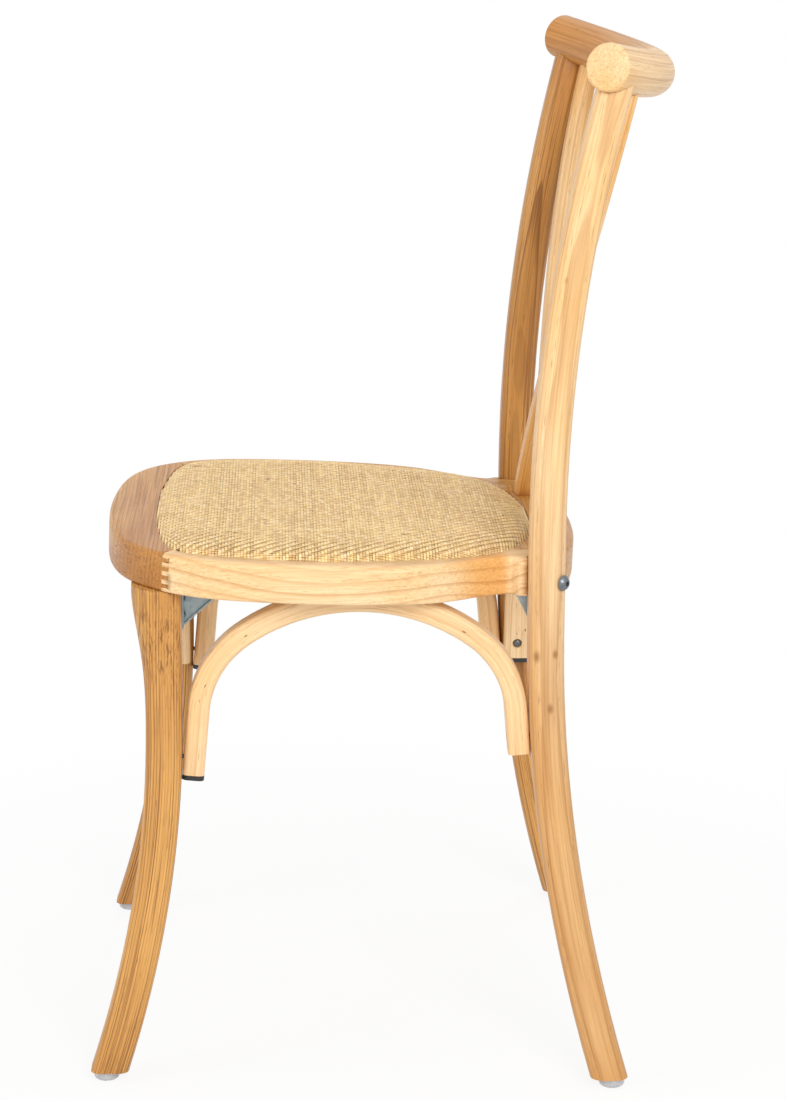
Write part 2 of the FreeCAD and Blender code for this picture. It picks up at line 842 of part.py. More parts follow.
def bolt_line():
    """Seat of the bolt's head on the post's corner, and its way into the frame."""
    axis = Vector(-math.cos(math.radians(bolt_angle)),
                  -math.sin(math.radians(bolt_angle)), 0)
    x, y = post_centre(seat_top(0))
    inset = post_corner * (1 - math.cos(math.radians(bolt_angle))) - bolt_seat_rise
    z = seat_top(0) - bolt_drop
    return Vector(x + post_width / 2 - inset, y + post_depth / 2 - inset, z), axis


def post_bolt():
    seat, axis = bolt_line()
    bolt = domed_pin(seat, axis, bolt_diameter, bolt_head_diameter, bolt_head_height,
                     bolt_length, bolt_diameter / 8)
    points = []
    side = Vector(0, 0, 1)
    other = axis.cross(side)
    top = seat - axis * bolt_head_height
    for corner in range(7):
        angle = math.radians(60 * corner)
        reach = bolt_socket / 2 / math.cos(math.radians(30))
        points.append(top + side * reach * math.cos(angle) + other * reach * math.sin(angle))
    socket = Part.Face(Part.makePolygon(points)).extrude(axis * (bolt_head_height * 0.6))
    return bolt.cut(socket)


def insert_start():
    seat, axis = bolt_line()
    return seat + axis * (bolt_length - insert_length + bolt_past_insert)


def bolt_insert():
    axis = bolt_line()[1]
    start = insert_start()
    outer = cylinder(start, axis, insert_diameter, insert_length)
    return outer.cut(cylinder(start - axis, axis, bolt_diameter + 2 * screw_clearance,
                              insert_length + 2.0))


def foot_glide(x, y):
    """A moulded foot: a flat sole, a rounded skirt and a pin driven into the leg."""
    rim = glide_diameter / 2
    sole = glide_flat_diameter / 2
    shoulder = glide_height * 0.45
    profile = [
        Part.LineSegment(Vector(0, 0, 0), Vector(sole, 0, 0)).toShape(),
        Part.Arc(Vector(sole, 0, 0), Vector(rim - (rim - sole) * 0.3, 0, shoulder * 0.3),
                 Vector(rim, 0, shoulder)).toShape(),
        Part.LineSegment(Vector(rim, 0, shoulder), Vector(rim, 0, glide_height - fit_gap / 2)
                         ).toShape(),
        Part.LineSegment(Vector(rim, 0, glide_height - fit_gap / 2),
                         Vector(0, 0, glide_height - fit_gap / 2)).toShape(),
        Part.LineSegment(Vector(0, 0, glide_height - fit_gap / 2), Vector(0, 0, 0)).toShape(),
    ]
    body = Part.Face(Part.Wire(profile)).revolve(Vector(0, 0, 0), Vector(0, 0, 1), 360)
    pin = cylinder(Vector(0, 0, glide_height * 0.6), Vector(0, 0, 1), glide_pin_diameter,
                   glide_pin_length)
    glide = body.fuse(pin)
    glide.translate(Vector(x, y, 0))
    return glide


def glide_room(x, y):
    return cylinder(Vector(x, y, 0), Vector(0, 0, 1),
                    glide_pin_diameter + 2 * screw_clearance,
                    glide_height * 0.6 + glide_pin_length + 1.0)


# Steel brackets

def corner_bracket(place, reach, drop, width, end_width):
    """A folded bracket in the corner between a leg and the frame.

    Its web is a triangle in the plane of along and down. One flange lies on the frame's
    underside and one on the leg, and a lip is folded up along the open side.
    """
    corner, along, across = place
    down = Vector(0, 0, -1)
    sheet = bracket_sheet
    low, far = corner + down * drop, corner + along * reach
    web = Part.Face(Part.makePolygon([corner, far, low, corner])).extrude(across * sheet)
    top = Part.Face(Part.makePolygon([
        corner, far, far + across * end_width, corner + across * width, corner,
    ])).extrude(down * sheet)
    side = Part.Face(Part.makePolygon([
        corner, low, low + across * end_width, corner + across * width, corner,
    ])).extrude(along * sheet)
    slant = (far - low).normalize()
    inwards = (along * drop + down * reach).normalize() * -sheet
    start, end = low + slant * sheet * 2, far - slant * sheet * 2
    lip = Part.Face(Part.makePolygon([
        start, end, end + inwards, start + inwards, start,
    ])).extrude(across * (bracket_lip + sheet))
    return web.fuse(top).fuse(side).fuse(lip)


def bracket_screw_lines(place, reach, drop, width, end_width):
    """Two screws into the frame and two into the leg."""
    corner, along, across = place
    down = Vector(0, 0, -1)
    lines = []
    for share in (0.3, 0.7):
        middle = across * (width + (end_width - width) * share) * 0.55
        lines.append((corner + along * reach * share + middle + down * bracket_sheet,
                      down * -1))
        lines.append((corner + down * drop * share + middle + along * bracket_sheet,
                      along * -1))
    return lines


def front_bracket_place():
    leg_y = front_edge_y + front_leg_setback
    y = leg_y + front_leg_size / 2 + bracket_gap
    z = seat_underside(y + front_bracket_reach) - bracket_gap
    x = front_inner_face(z) + bracket_inset
    return Vector(x, y, z), Vector(0, 1, 0), Vector(1, 0, 0)


def rear_bracket_place():
    y = rear_bracket_width / 2 - post_depth * 0.3
    z = seat_underside(y) - bracket_gap
    x = post_half_spacing - post_width / 2 - bracket_gap
    return Vector(x, y, z), Vector(-1, 0, 0), Vector(0, -1, 0)


# Assembly

def build():
    nodes = {}
    front, left, right, back = frame_rails()
    leg = front_leg()
    post = back_post()
    crest = crest_rail()
    front_slat, back_slat = cross_slats()
    arch, side_path = side_arch()
    middle, half_span, crown_z = side_arch_geometry()
    front_arch = cross_arch(front_arch_y(), front_arch_end, front_inner_face)
    rear_arch = cross_arch(rear_arch_y(), rear_arch_end, rear_inner_face)

    # End screws hold each arch to its legs, crown screws hold it to the frame.
    end_screws = []
    crown_screws = []
    depth = arch_thickness / 2 - screw_sink
    for (end_u, end_v), sign in ((side_path[0][0], -1), (side_path[1][0], 1)):
        reach = end_u - end_screw_rise * math.tan(side_lean()) - depth
        face = Vector(side_arch_half_spacing, middle + sign * reach,
                      crown_z + end_v + end_screw_rise)
        axis = Vector(0, sign, 0)
        end_screws.append((face, axis))
        end_screws.append((Vector(-face.x, face.y, face.z), axis))
    for plane_y, end_z, inner in ((front_arch_y(), front_arch_end, front_inner_face),
                                  (rear_arch_y(), rear_arch_end, rear_inner_face)):
        lean = cross_lean(end_z, inner)
        reach = arch_reach(inner, end_z, lean) - end_screw_rise * math.tan(lean) - depth
        for sign in (-1, 1):
            end_screws.append((Vector(sign * reach, plane_y, end_z + end_screw_rise),
                               Vector(sign, 0, 0)))
    for offset in (-crown_screw_spacing / 2, crown_screw_spacing / 2):
        for x in (-side_arch_half_spacing, side_arch_half_spacing):
            crown_screws.append(Vector(x, middle + offset, crown_z - depth))
        for plane_y in (front_arch_y(), rear_arch_y()):
            z = seat_underside(plane_y) - arch_thickness + arch_crown_sink + screw_sink
            crown_screws.append(Vector(offset, plane_y, z))
    crown_screws = [(point, Vector(0, 0, 1)) for point in crown_screws]

    bracket_lines = []
    brackets = {}
    bracket_sizes = {
        "front": (front_bracket_place(), front_bracket_reach, front_bracket_drop,
                  front_bracket_width, front_bracket_end_width),
        "rear": (rear_bracket_place(), rear_bracket_reach, rear_bracket_drop,
                 rear_bracket_width, rear_bracket_end_width),
    }
    for name, sizes in bracket_sizes.items():
        brackets[name] = corner_bracket(*sizes)
        for point, axis in bracket_screw_lines(*sizes):
            bracket_lines.append((point, axis))
            bracket_lines.append((Vector(-point.x, point.y, point.z),
                                  Vector(-axis.x, axis.y, axis.z)))

    board_lines = board_screw_lines()

    big_room = [screw_room(p, a, screw_diameter, screw_length, screw_head_diameter)
                for p, a in end_screws + crown_screws]
    small_room = [screw_room(p, a, small_screw_diameter, small_screw_length,
                             small_screw_head_diameter)
                  for p, a in bracket_lines + board_lines]
    bolt_seat, bolt_axis = bolt_line()
    bolt_room = cylinder(bolt_seat - bolt_axis, bolt_axis, bolt_diameter + 2 * screw_clearance,
                         bolt_length + 3.0)
    head_room = cylinder(bolt_seat, bolt_axis * -1, bolt_head_diameter + head_gap,
                         driver_room)
    insert_room = cylinder(insert_start() - bolt_axis * screw_clearance, bolt_axis,
                           insert_diameter + 2 * screw_clearance,
                           insert_length + 2 * screw_clearance)
    leg_room = leg_tenon(glue_gap, tenon_end_gap)
    post_room = post_tenon(glue_gap, tenon_end_gap)
    slat_top_room, slat_bottom_room = slat_tenons(glue_gap, tenon_end_gap)

    def both(shape):
        return shape.fuse(mirrored(shape))

    def drill(shape, tools):
        near = [tool for tool in tools if shape.BoundBox.intersect(tool.BoundBox)]
        return shape.cut(near) if near else shape

    rail_tools = big_room + small_room + [both(bolt_room), both(insert_room),
                                          both(leg_room), both(slat_bottom_room)]
    nodes["seat_front_rail"] = drill(front, rail_tools)
    nodes["seat_side_rail_left"] = drill(left, rail_tools)
    nodes["seat_side_rail_right"] = drill(right, rail_tools)
    nodes["seat_back_rail"] = drill(back, rail_tools)
    nodes["seat_board"] = drill(seat_board(), small_room)
    nodes["woven_seat"] = woven_seat()

    foot_x, foot_y = front_leg_centre(0)
    back_foot_x, back_foot_y = post_centre(0)
    leg = leg.cut(glide_room(foot_x, foot_y))
    post = post.cut(glide_room(back_foot_x, back_foot_y))
    post = post.cut(bolt_room).cut(head_room)
    for side, turn in (("left", lambda s: s), ("right", mirrored)):
        nodes["front_leg_" + side] = drill(turn(leg), big_room + small_room)
        nodes["back_post_" + side] = drill(turn(post), big_room + small_room)
        nodes["side_arch_" + side] = drill(turn(arch), big_room)
        nodes["front_bracket_" + side] = drill(turn(brackets["front"]), small_room)
        nodes["rear_bracket_" + side] = drill(turn(brackets["rear"]), small_room)
        nodes["post_bolt_" + side] = turn(post_bolt())
        nodes["front_glide_" + side] = turn(foot_glide(foot_x, foot_y))
        nodes["rear_glide_" + side] = turn(foot_glide(back_foot_x, back_foot_y))

    nodes["crest_rail"] = crest.cut([both(post_room), both(slat_top_room)])
    nodes["cross_slat_front"] = front_slat
    nodes["cross_slat_back"] = back_slat
    nodes["front_arch"] = drill(front_arch, big_room)
    nodes["rear_arch"] = drill(rear_arch, big_room)
    nodes["bolt_inserts"] = Part.makeCompound([bolt_insert(), mirrored(bolt_insert())])
    nodes["arch_end_caps"] = Part.makeCompound(arch_caps(side_path, middle, crown_z))
    nodes["arch_end_screws"] = Part.makeCompound([wood_screw(p, a) for p, a in end_screws])
    nodes["arch_crown_screws"] = Part.makeCompound([wood_screw(p, a) for p, a in crown_screws])
    nodes["bracket_screws"] = Part.makeCompound([small_screw(p, a) for p, a in bracket_lines])
    nodes["seat_board_screws"] = Part.makeCompound([small_screw(p, a) for p, a in board_lines])
    nodes["cross_slat_screw"] = small_screw(*slat_screw_line())
    return nodes


def board_screw_lines():
    """Screws that hold the board down on the ledge, from below."""
    lines = []
    outline = weave_outline(ledge_width / 2, board_screw_sink - frame_thickness)
    for point in outline.discretize(Number=board_screw_count + 1)[:-1]:
        place = seat_plane.multVec(point)
        axis = seat_plane.Rotation.multVec(Vector(0, 0, 1))
        lines.append((place, axis))
    return lines


def arch_caps(side_path, middle, crown_z):
    """Caps under the front ends of the side arches and both ends of the rear arch."""
    caps = []
    lean = side_lean()
    end_u, end_v = side_path[0][0]
    centre = Vector(side_arch_half_spacing, middle - end_u, crown_z + end_v)
    down = Vector(0, -math.sin(lean), -math.cos(lean))
    side_cap = end_cap(centre, down, Vector(1, 0, 0))
    caps += [side_cap, mirrored(side_cap)]
    lean = cross_lean(rear_arch_end, rear_inner_face)
    half = arch_reach(rear_inner_face, rear_arch_end, lean)
    centre = Vector(half, rear_arch_y(), rear_arch_end)
    down = Vector(math.sin(lean), 0, -math.cos(lean))
    rear_cap = end_cap(centre, down, Vector(0, 1, 0))
    caps += [rear_cap, mirrored(rear_cap)]
    return caps


def origin_shift():
    """Half way between the tip of the front feet and the back of the crest rail."""
    front_z = glide_height
    front = front_leg_centre(front_z)[1] - front_leg_size / 2 * math.hypot(
        1, front_leg_rake(front_z))
    back = crest_point(0).y + crest_diameter / 2
    return Vector(0, -(front + back) / 2, 0)


def main():
    os.makedirs("parts", exist_ok=True)
    shift = origin_shift()
    for name, shape in build().items():
        shape.translate(shift)
        shape.exportStep("parts/" + name + ".step")
        print(name, len(shape.Solids), "solids", round(shape.Volume / 1000, 2), "cm3",
              "valid" if shape.isValid() else "NOT VALID")


main()
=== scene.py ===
import math

import bmesh
import bpy
from mathutils import Matrix, Vector
from mathutils.bvhtree import BVHTree


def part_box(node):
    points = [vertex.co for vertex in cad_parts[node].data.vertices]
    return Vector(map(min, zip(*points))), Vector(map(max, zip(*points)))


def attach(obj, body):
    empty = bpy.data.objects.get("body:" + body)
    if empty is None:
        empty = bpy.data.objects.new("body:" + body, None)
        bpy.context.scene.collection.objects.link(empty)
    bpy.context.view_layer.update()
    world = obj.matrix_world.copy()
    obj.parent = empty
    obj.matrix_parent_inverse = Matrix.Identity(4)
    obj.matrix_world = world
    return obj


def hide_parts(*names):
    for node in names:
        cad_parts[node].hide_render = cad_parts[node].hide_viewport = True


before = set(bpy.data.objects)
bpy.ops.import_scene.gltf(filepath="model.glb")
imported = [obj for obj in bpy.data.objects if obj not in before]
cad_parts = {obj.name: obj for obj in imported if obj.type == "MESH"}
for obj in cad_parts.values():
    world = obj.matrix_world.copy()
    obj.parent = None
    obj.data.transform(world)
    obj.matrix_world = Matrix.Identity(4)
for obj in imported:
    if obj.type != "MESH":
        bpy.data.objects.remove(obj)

bl_info = {
    "name": "Cross back chair",
    "version": (1, 0, 0),
    "blender": (4, 5, 0),
    "location": "3D View > Sidebar > Chair",
    "description": "Dresses a cross back dining chair with wood, woven rattan, steel and plastic",
    "category": "Object",
}

MM = 0.001
MERGE_DISTANCE = 0.000002       # points of a CAD mesh that are closer are one
SHARP_ANGLE = math.radians(32)  # a CAD edge that turns more stays sharp


# Settings

class WoodSettings(bpy.types.PropertyGroup):
    cream: bpy.props.FloatVectorProperty(
        name="Cream", description="Palest wood between the growth rings",
        subtype="COLOR", size=3, min=0, max=1, default=(0.91, 0.675, 0.40))
    honey: bpy.props.FloatVectorProperty(
        name="Honey", description="Middle tone of the pale wood",
        subtype="COLOR", size=3, min=0, max=1, default=(0.81, 0.45, 0.138))
    tan: bpy.props.FloatVectorProperty(
        name="Tan", description="Middle tone of the darker wood",
        subtype="COLOR", size=3, min=0, max=1, default=(0.49, 0.208, 0.045))
    umber: bpy.props.FloatVectorProperty(
        name="Umber", description="Dark line at the end of each growth ring",
        subtype="COLOR", size=3, min=0, max=1, default=(0.20, 0.072, 0.018))
    lacquer_roughness: bpy.props.FloatProperty(
        name="Lacquer roughness", description="Roughness of the satin lacquer",
        min=0, max=1, default=0.36)
    pore_depth: bpy.props.FloatProperty(
        name="Pore depth", description="Depth of the open pores",
        unit="LENGTH", subtype="DISTANCE", min=0, default=0.00012)


class WeaveSettings(bpy.types.PropertyGroup):
    pitch: bpy.props.FloatProperty(
        name="Pitch", description="Distance between neighbouring strips",
        unit="LENGTH", subtype="DISTANCE", min=0.001, default=0.0027)
    width: bpy.props.FloatProperty(
        name="Strip width", description="Width of one rattan strip",
        unit="LENGTH", subtype="DISTANCE", min=0.0005, default=0.0025)
    rise: bpy.props.FloatProperty(
        name="Rise", description="How far a strip climbs over the strips that it crosses",
        unit="LENGTH", subtype="DISTANCE", min=0, default=0.00034)
    straw: bpy.props.FloatVectorProperty(
        name="Straw", description="Main tone of the rattan",
        subtype="COLOR", size=3, min=0, max=1, default=(1.0, 0.64, 0.275))
    # Painted shade: this dark tone stands for the shadow in the gaps of the weave, on the sheet
    # below the strips and at the strips' edges.
    shade: bpy.props.FloatVectorProperty(
        name="Shade", description="Tone in the gaps of the weave",
        subtype="COLOR", size=3, min=0, max=1, default=(0.24, 0.11, 0.035))


class StageSettings(bpy.types.PropertyGroup):
    azimuth: bpy.props.FloatProperty(
        name="Azimuth", description="Direction of the camera round the chair",
        unit="ROTATION", subtype="ANGLE", default=math.radians(87.7673))
    elevation: bpy.props.FloatProperty(
        name="Elevation", description="How steeply the camera looks down",
        unit="ROTATION", subtype="ANGLE", default=math.radians(13.2073))
    roll: bpy.props.FloatProperty(
        name="Roll", description="Turn of the camera about its own axis",
        unit="ROTATION", subtype="ANGLE", default=math.radians(0.315))
    place: bpy.props.FloatVectorProperty(
        name="Place", description="Where the camera stands",
        unit="LENGTH", subtype="TRANSLATION", size=3, default=(2.644105, -0.090542, 1.037965))
    lens: bpy.props.FloatProperty(
        name="Lens", description="Focal length for a 36 mm sensor", min=1, default=98.286)
    world_light: bpy.props.FloatProperty(
        name="World light", description="Strength of the even light from all round",
        min=0, default=0.56)


# Node materials

class Wire:
    """A node's output socket that takes part in shader maths."""

    def __init__(self, tree, socket):
        self.tree = tree
        self.socket = socket

    def maths(self, operation, *others):
        return self.tree.maths(operation, self, *others)

    def __add__(self, other):
        return self.maths("ADD", other)

    __radd__ = __add__

    def __mul__(self, other):
        return self.maths("MULTIPLY", other)

    __rmul__ = __mul__

    def __sub__(self, other):
        return self.maths("SUBTRACT", other)

    def __rsub__(self, other):
        return self.tree.maths("SUBTRACT", other, self)

    def __truediv__(self, other):
        return self.maths("DIVIDE", other)

    def __rtruediv__(self, other):
        return self.tree.maths("DIVIDE", other, self)

    def fraction(self):
        return self.maths("FRACT")

    def whole(self):
        return self.maths("FLOOR")

    def size(self):
        return self.maths("ABSOLUTE")

    def root(self):
        return self.maths("SQRT")

    def ramp(self, low, high, start=0.0, end=1.0):
        """Smooth change from start to end while this value goes from low to high."""
        return self.tree.node(
            "ShaderNodeMapRange", {"interpolation_type": "SMOOTHSTEP", "clamp": True},
            {0: self, 1: low, 2: high, 3: start, 4: end})


class Tree:
    """A node tree that is put together from values and wires."""

    def __init__(self, tree):
        self.nodes = tree.nodes
        self.links = tree.links

    def feed(self, socket, value):
        if isinstance(value, Wire):
            self.links.new(value.socket, socket)
        elif hasattr(value, "__len__") and len(value) < len(socket.default_value):
            socket.default_value = (*value, 1.0)
        else:
            socket.default_value = value

    def node(self, kind, choices=None, inputs=None, output=0):
        """A new node: its settings come first, then what its inputs get."""
        node = self.nodes.new(kind)
        for key, value in (choices or {}).items():
            setattr(node, key, value)
        for key, value in (inputs or {}).items():
            self.feed(node.inputs[key], value)
        return Wire(self, node.outputs[output])

    def maths(self, operation, *values):
        return self.node("ShaderNodeMath", {"operation": operation}, dict(enumerate(values)))


class Finish(Tree):
    """A node material being put together round its principled shader."""

    def __init__(self, name):
        self.material = bpy.data.materials.new(name)
        self.material.use_nodes = True
        super().__init__(self.material.node_tree)
        self.shader = self.nodes["Principled BSDF"]

    def set(self, **sockets):
        for key, value in sockets.items():
            self.feed(self.shader.inputs[key.replace("_", " ")], value)

    def place(self, attribute=None):
        """The point's place, from an attribute of the piece or from the object."""
        if attribute:
            return self.node("ShaderNodeAttribute", {"attribute_name": attribute},
                             output="Vector")
        return self.node("ShaderNodeTexCoord", output="Object")

    def scaled(self, vector, factors, offset=(0, 0, 0)):
        return self.node("ShaderNodeVectorMath", {"operation": "MULTIPLY_ADD"},
                         {0: vector, 1: factors, 2: offset})

    def parts(self, vector):
        """The three numbers of a vector or a colour."""
        first = self.node("ShaderNodeSeparateXYZ", None, {0: vector})
        return [Wire(self, socket) for socket in first.socket.node.outputs]

    def joined(self, x, y, z):
        return self.node("ShaderNodeCombineXYZ", None, {0: x, 1: y, 2: z})

    def noise(self, vector, detail=2.0, roughness=0.5, output=0):
        return self.node("ShaderNodeTexNoise", None,
                         {"Vector": vector, "Scale": 1.0, "Detail": detail,
                          "Roughness": roughness}, output)

    def mix(self, factor, first, second, mode="MIX"):
        """Mixed colours. A mix node's colour sockets share names, so they go by number."""
        return self.node("ShaderNodeMix", {"data_type": "RGBA", "blend_type": mode},
                         {0: factor, 6: first, 7: second}, output=2)

    def bump(self, height, distance, strength=1.0):
        return self.node("ShaderNodeBump", None,
                         {"Strength": strength, "Distance": distance, "Height": height})


def shade(colour, factor):
    """The colour, darker or lighter by a factor."""
    return tuple(min(1.0, part * factor) for part in colour)


def blend(first, second, share):
    """The colour that lies this share of the way from the first to the second."""
    return tuple(a + (b - a) * share for a, b in zip(first, second))


def wood(name, seed, light, middle, dark, ring=4.0, heart=(30.0, 12.0), wander=3.0,
         vein=0.6, bend=0.0, streak=0.3, specks=0.0, patch=None, knots=(), end=None,
         straight=False):
    """Lacquered ring porous wood. Its grain runs along the third axis of its own place.

    ring, heart and wander are the distance between growth rings, their centre across the
    piece and how far they stray, in millimetres, and bend curves them along the grain.
    vein, streak and specks are the strengths of ring lines, grain lines and dark spots.
    Each of the knots has its place across, deep and along, and its size, in millimetres.
    patch has the two places along the grain, in metres, between which a darker tone sets in, the
    tone, and the two between which it fades again, if it does; on the crest and on the side
    rail's scoop it is painted shade, and on the near post it darkens the post towards its
    foot. Further than end from the middle, in metres, ring lines are faint. A straight piece
    has its grain along X.
    """
    look = bpy.context.scene.chair_wood
    finish = Finish(name)
    if straight:
        x, y, z = finish.parts(finish.place())
        place = finish.joined(y, z, x)
    else:
        place = finish.place("grain")
    shift = (seed * 1.37 % 3.1, seed * 2.11 % 2.7, seed * 0.73 % 4.3)
    shifted = finish.scaled(place, (1, 1, 1), shift)
    across, deep, along = finish.parts(place)

    # The rings wander slowly along the grain.
    slow = finish.noise(finish.scaled(shifted, (7, 7, 2.6)), output="Color")
    drift_x, drift_y, drift_z = finish.parts(finish.scaled(slow, (1, 1, 1), (-0.5,) * 3))
    medium = finish.noise(finish.scaled(shifted, (40, 40, 9)))
    side = across + drift_x * (wander * 2 * MM) - heart[0] * MM
    depth = deep + drift_y * (wander * 2 * MM) - heart[1] * MM - along * along * bend
    radius = (side * side + depth * depth).root()
    phase = radius / (ring * MM) + drift_z * 1.2 + (medium - 0.5) * 0.5
    turn = phase.fraction()
    count = phase.whole()
    each = finish.node("ShaderNodeTexWhiteNoise", {"noise_dimensions": "1D"}, {"W": count})
    line = turn.ramp(0.58, 0.94) * turn.ramp(0.94, 1.0, 1.0, 0.0)
    line = line * (each * 0.7 + 0.3) * vein
    if end:
        line = line * along.size().ramp(end - 0.001, end, 1.0, 0.35)
    early = turn.ramp(0.0, 0.10) * turn.ramp(0.12, 0.45, 1.0, 0.0)

    # Pores are short dashes in the early wood, and fibres are long faint streaks.
    pores = finish.noise(finish.scaled(shifted, (1500, 1500, 70)), detail=1)
    pores = pores.ramp(0.60, 0.72) * (early * 0.75 + 0.25)
    fibre = finish.noise(finish.scaled(shifted, (520, 520, 9)), detail=3, roughness=0.6)
    cloud = finish.noise(finish.scaled(shifted, (16, 16, 4)))
    grain_line = finish.noise(finish.scaled(shifted, (480, 480, 4)), roughness=0.65)

    body = finish.mix(cloud.ramp(0.32, 0.70), light, middle)
    body = finish.mix(fibre.ramp(0.35, 0.72) * 0.30, body, dark)
    body = finish.mix(grain_line.ramp(0.53, 0.63) * streak, body, dark)
    body = finish.mix(line, body, dark)
    body = finish.mix(pores * 0.60, body, shade(dark, 0.62))
    for spot_across, spot_deep, spot_along, size in knots:
        off_x, off_y = across - spot_across * MM, deep - spot_deep * MM
        off_z = (along - spot_along * MM) * 0.6
        away = (off_x * off_x + off_y * off_y + off_z * off_z).root() + drift_x * 0.004
        body = finish.mix(away.ramp(0.0, size * MM, 0.75, 0.0), body, shade(dark, 0.75))
    if specks:
        speck = finish.noise(finish.scaled(shifted, (170, 170, 60)), detail=1)
        body = finish.mix(speck.ramp(0.745, 0.775) * specks, body, look.umber)
    # The patch multiplies in a darker tone between two places along the grain; on the crest and
    # the side rail's scoop this is painted shade.
    if patch:
        low, high, tone, *fade = patch
        edge = along + (drift_x + drift_y * 0.5) * abs(high - low) * 0.6
        share = edge.ramp(low, high)
        if fade:
            share = share * edge.ramp(*fade, 1.0, 0.0)
        body = finish.mix(share, body, tone, "MULTIPLY")
    height = fibre * 0.25 - pores - line * 0.15
    gloss = look.lacquer_roughness
    finish.set(Base_Color=body, Roughness=fibre.ramp(0.2, 0.8, gloss - 0.05, gloss + 0.10),
               Normal=finish.bump(height, look.pore_depth, 0.8),
               Coat_Weight=0.05, Coat_Roughness=0.22, Specular_IOR_Level=0.30)
    return finish.material


# The chair's own lines, in millimetres

class Lines:
    """Centre lines of the bent pieces, from the frame's corners and the part's own values."""

    seat_height = 462.0
    seat_width = 448.0
    seat_depth = 361.5
    slope = math.radians(2.06)
    frame_thickness = 33.0
    front_leg_size = 31.0
    front_leg_setback = 52.5
    front_leg_splay = 0.1105
    front_leg_bend_start = 305.0
    front_leg_bend_radius = 900.0
    leg_head_across = 0.861
    head_swell = 11.0
    post_depth = 31.0
    post_gap = 0.5
    post_half_spacing = 176.0
    post_foot_spread = 61.5
    post_foot_start = 380.0
    post_foot_radius = 1250.0
    post_back_start = 465.0
    post_back_radius = 1520.0
    post_back_spread = 10.0
    glide_height = 9.0
    slat_top_half = 155.0
    slat_cross_height = 575.0
    slat_rise = 279.0
    slat_seat_setback = 2.0
    slat_lean = 0.078
    slat_bend = 0.0001926
    arch_thickness = 19.0
    arch_shoulder_radius = 88.0
    arch_shoulder_start = math.radians(35.0)
    arch_crown_sink = 4.5
    side_arch_half_spacing = 177.0
    side_arch_lean = math.radians(5.0)
    side_arch_front_end = 264.0
    side_arch_back_end = 281.0
    front_arch_end = 271.0
    rear_arch_end = 275.0
    rear_arch_lean = math.radians(5.5)
    crest_thickness = 40.0
    crest_half_length = 203.0
    crest_bow = 60.5
    crest_slope = math.radians(15.5)
    crest_end_height = 864.5

    def __init__(self):
        self.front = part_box("seat_front_rail")[0][1] / MM
        self.crest_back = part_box("crest_rail")[1][1] / MM - self.crest_thickness / 2
        self.post = self.front + self.seat_depth + self.post_gap + self.post_depth / 2

    def seat_top(self, y):
        return self.seat_height - (y - self.front) * math.tan(self.slope)

    def underside(self, y):
        return self.seat_top(y) - self.frame_thickness / math.cos(self.slope)

    def front_leg(self, z):
        y = self.front + self.front_leg_setback
        top_z = self.underside(y)
        top_x = self.seat_width / 2 * self.leg_head_across - self.head_swell
        top_x -= self.front_leg_size / 2
        below = max(0.0, self.front_leg_bend_start - z)
        x = top_x + self.front_leg_splay * (top_z - z)
        return x, y - below ** 2 / (2 * self.front_leg_bend_radius)

    def back_post(self, z):
        above = max(0.0, z - self.post_back_start)
        below = max(0.0, self.post_foot_start - z)
        seat = self.seat_top(self.post)
        under_seat = max(0.0, seat - z) / (seat - self.glide_height)
        over_seat = max(0.0, z - seat) / (self.crest_end_height - seat)
        x = self.post_half_spacing + self.post_foot_spread * under_seat ** 2
        x += self.post_back_spread * over_seat ** 2
        back = above ** 2 / (2 * self.post_back_radius)
        return x, self.post + back + below ** 2 / (2 * self.post_foot_radius)

    def slat(self, z):
        height = z - self.seat_top(self.post)
        turn = math.pi / 2 * (z - self.slat_cross_height) / self.slat_rise
        back = self.slat_seat_setback + self.slat_lean * height + self.slat_bend * height ** 2
        return self.slat_top_half * math.sin(turn), self.post + back

    def crest(self, x, y, z):
        """Place across, out from and along the bowed crest rail."""
        radius = (self.crest_half_length ** 2 + self.crest_bow ** 2) / (2 * self.crest_bow)
        middle_z = self.crest_end_height - self.crest_bow * math.sin(self.crest_slope)
        dy, dz = y - self.crest_back, z - middle_z
        flat_y = dy * math.cos(self.crest_slope) - dz * math.sin(self.crest_slope)
        flat_z = dy * math.sin(self.crest_slope) + dz * math.cos(self.crest_slope)
        flat_y += radius
        return math.hypot(x, flat_y) - radius, flat_z, radius * math.atan2(x, flat_y)


class Arch:
    """The path of a bentwood arch: a crown, two shoulders and two leaning ends."""

    def __init__(self, lines, half_span, rise, lean):
        first = lines.arch_shoulder_start
        last = math.pi / 2 - lean
        shoulder = lines.arch_shoulder_radius
        wide = shoulder * (math.sin(last) - math.sin(first))
        deep = shoulder * (math.cos(first) - math.cos(last))
        ratio = math.cos(last) / math.sin(last)
        self.crown = (half_span - wide - (rise - deep) * ratio) / (
            math.sin(first) - (1 - math.cos(first)) * ratio)
        self.first, self.last, self.shoulder = first, last, shoulder
        away = self.crown - shoulder
        self.knee_centre = (away * math.sin(first), -self.crown + away * math.cos(first))

    def local(self, u, v):
        """Distance along the path from the crown, and out from its centre line."""
        side = 1 if u >= 0 else -1
        u = abs(u)
        angle = math.atan2(u, v + self.crown)
        if angle <= self.first:
            return side * self.crown * angle, math.hypot(u, v + self.crown) - self.crown
        cu, cv = self.knee_centre
        turn = math.atan2(u - cu, v - cv)
        start = self.crown * self.first
        if turn <= self.last:
            reach = math.hypot(u - cu, v - cv) - self.shoulder
            return side * (start + self.shoulder * (turn - self.first)), reach
        start += self.shoulder * (self.last - self.first)
        du = u - cu - self.shoulder * math.sin(self.last)
        dv = v - cv - self.shoulder * math.cos(self.last)
        along = du * math.cos(self.last) - dv * math.sin(self.last)
        out = du * math.sin(self.last) + dv * math.cos(self.last)
        return side * (start + along), out


# Pieces

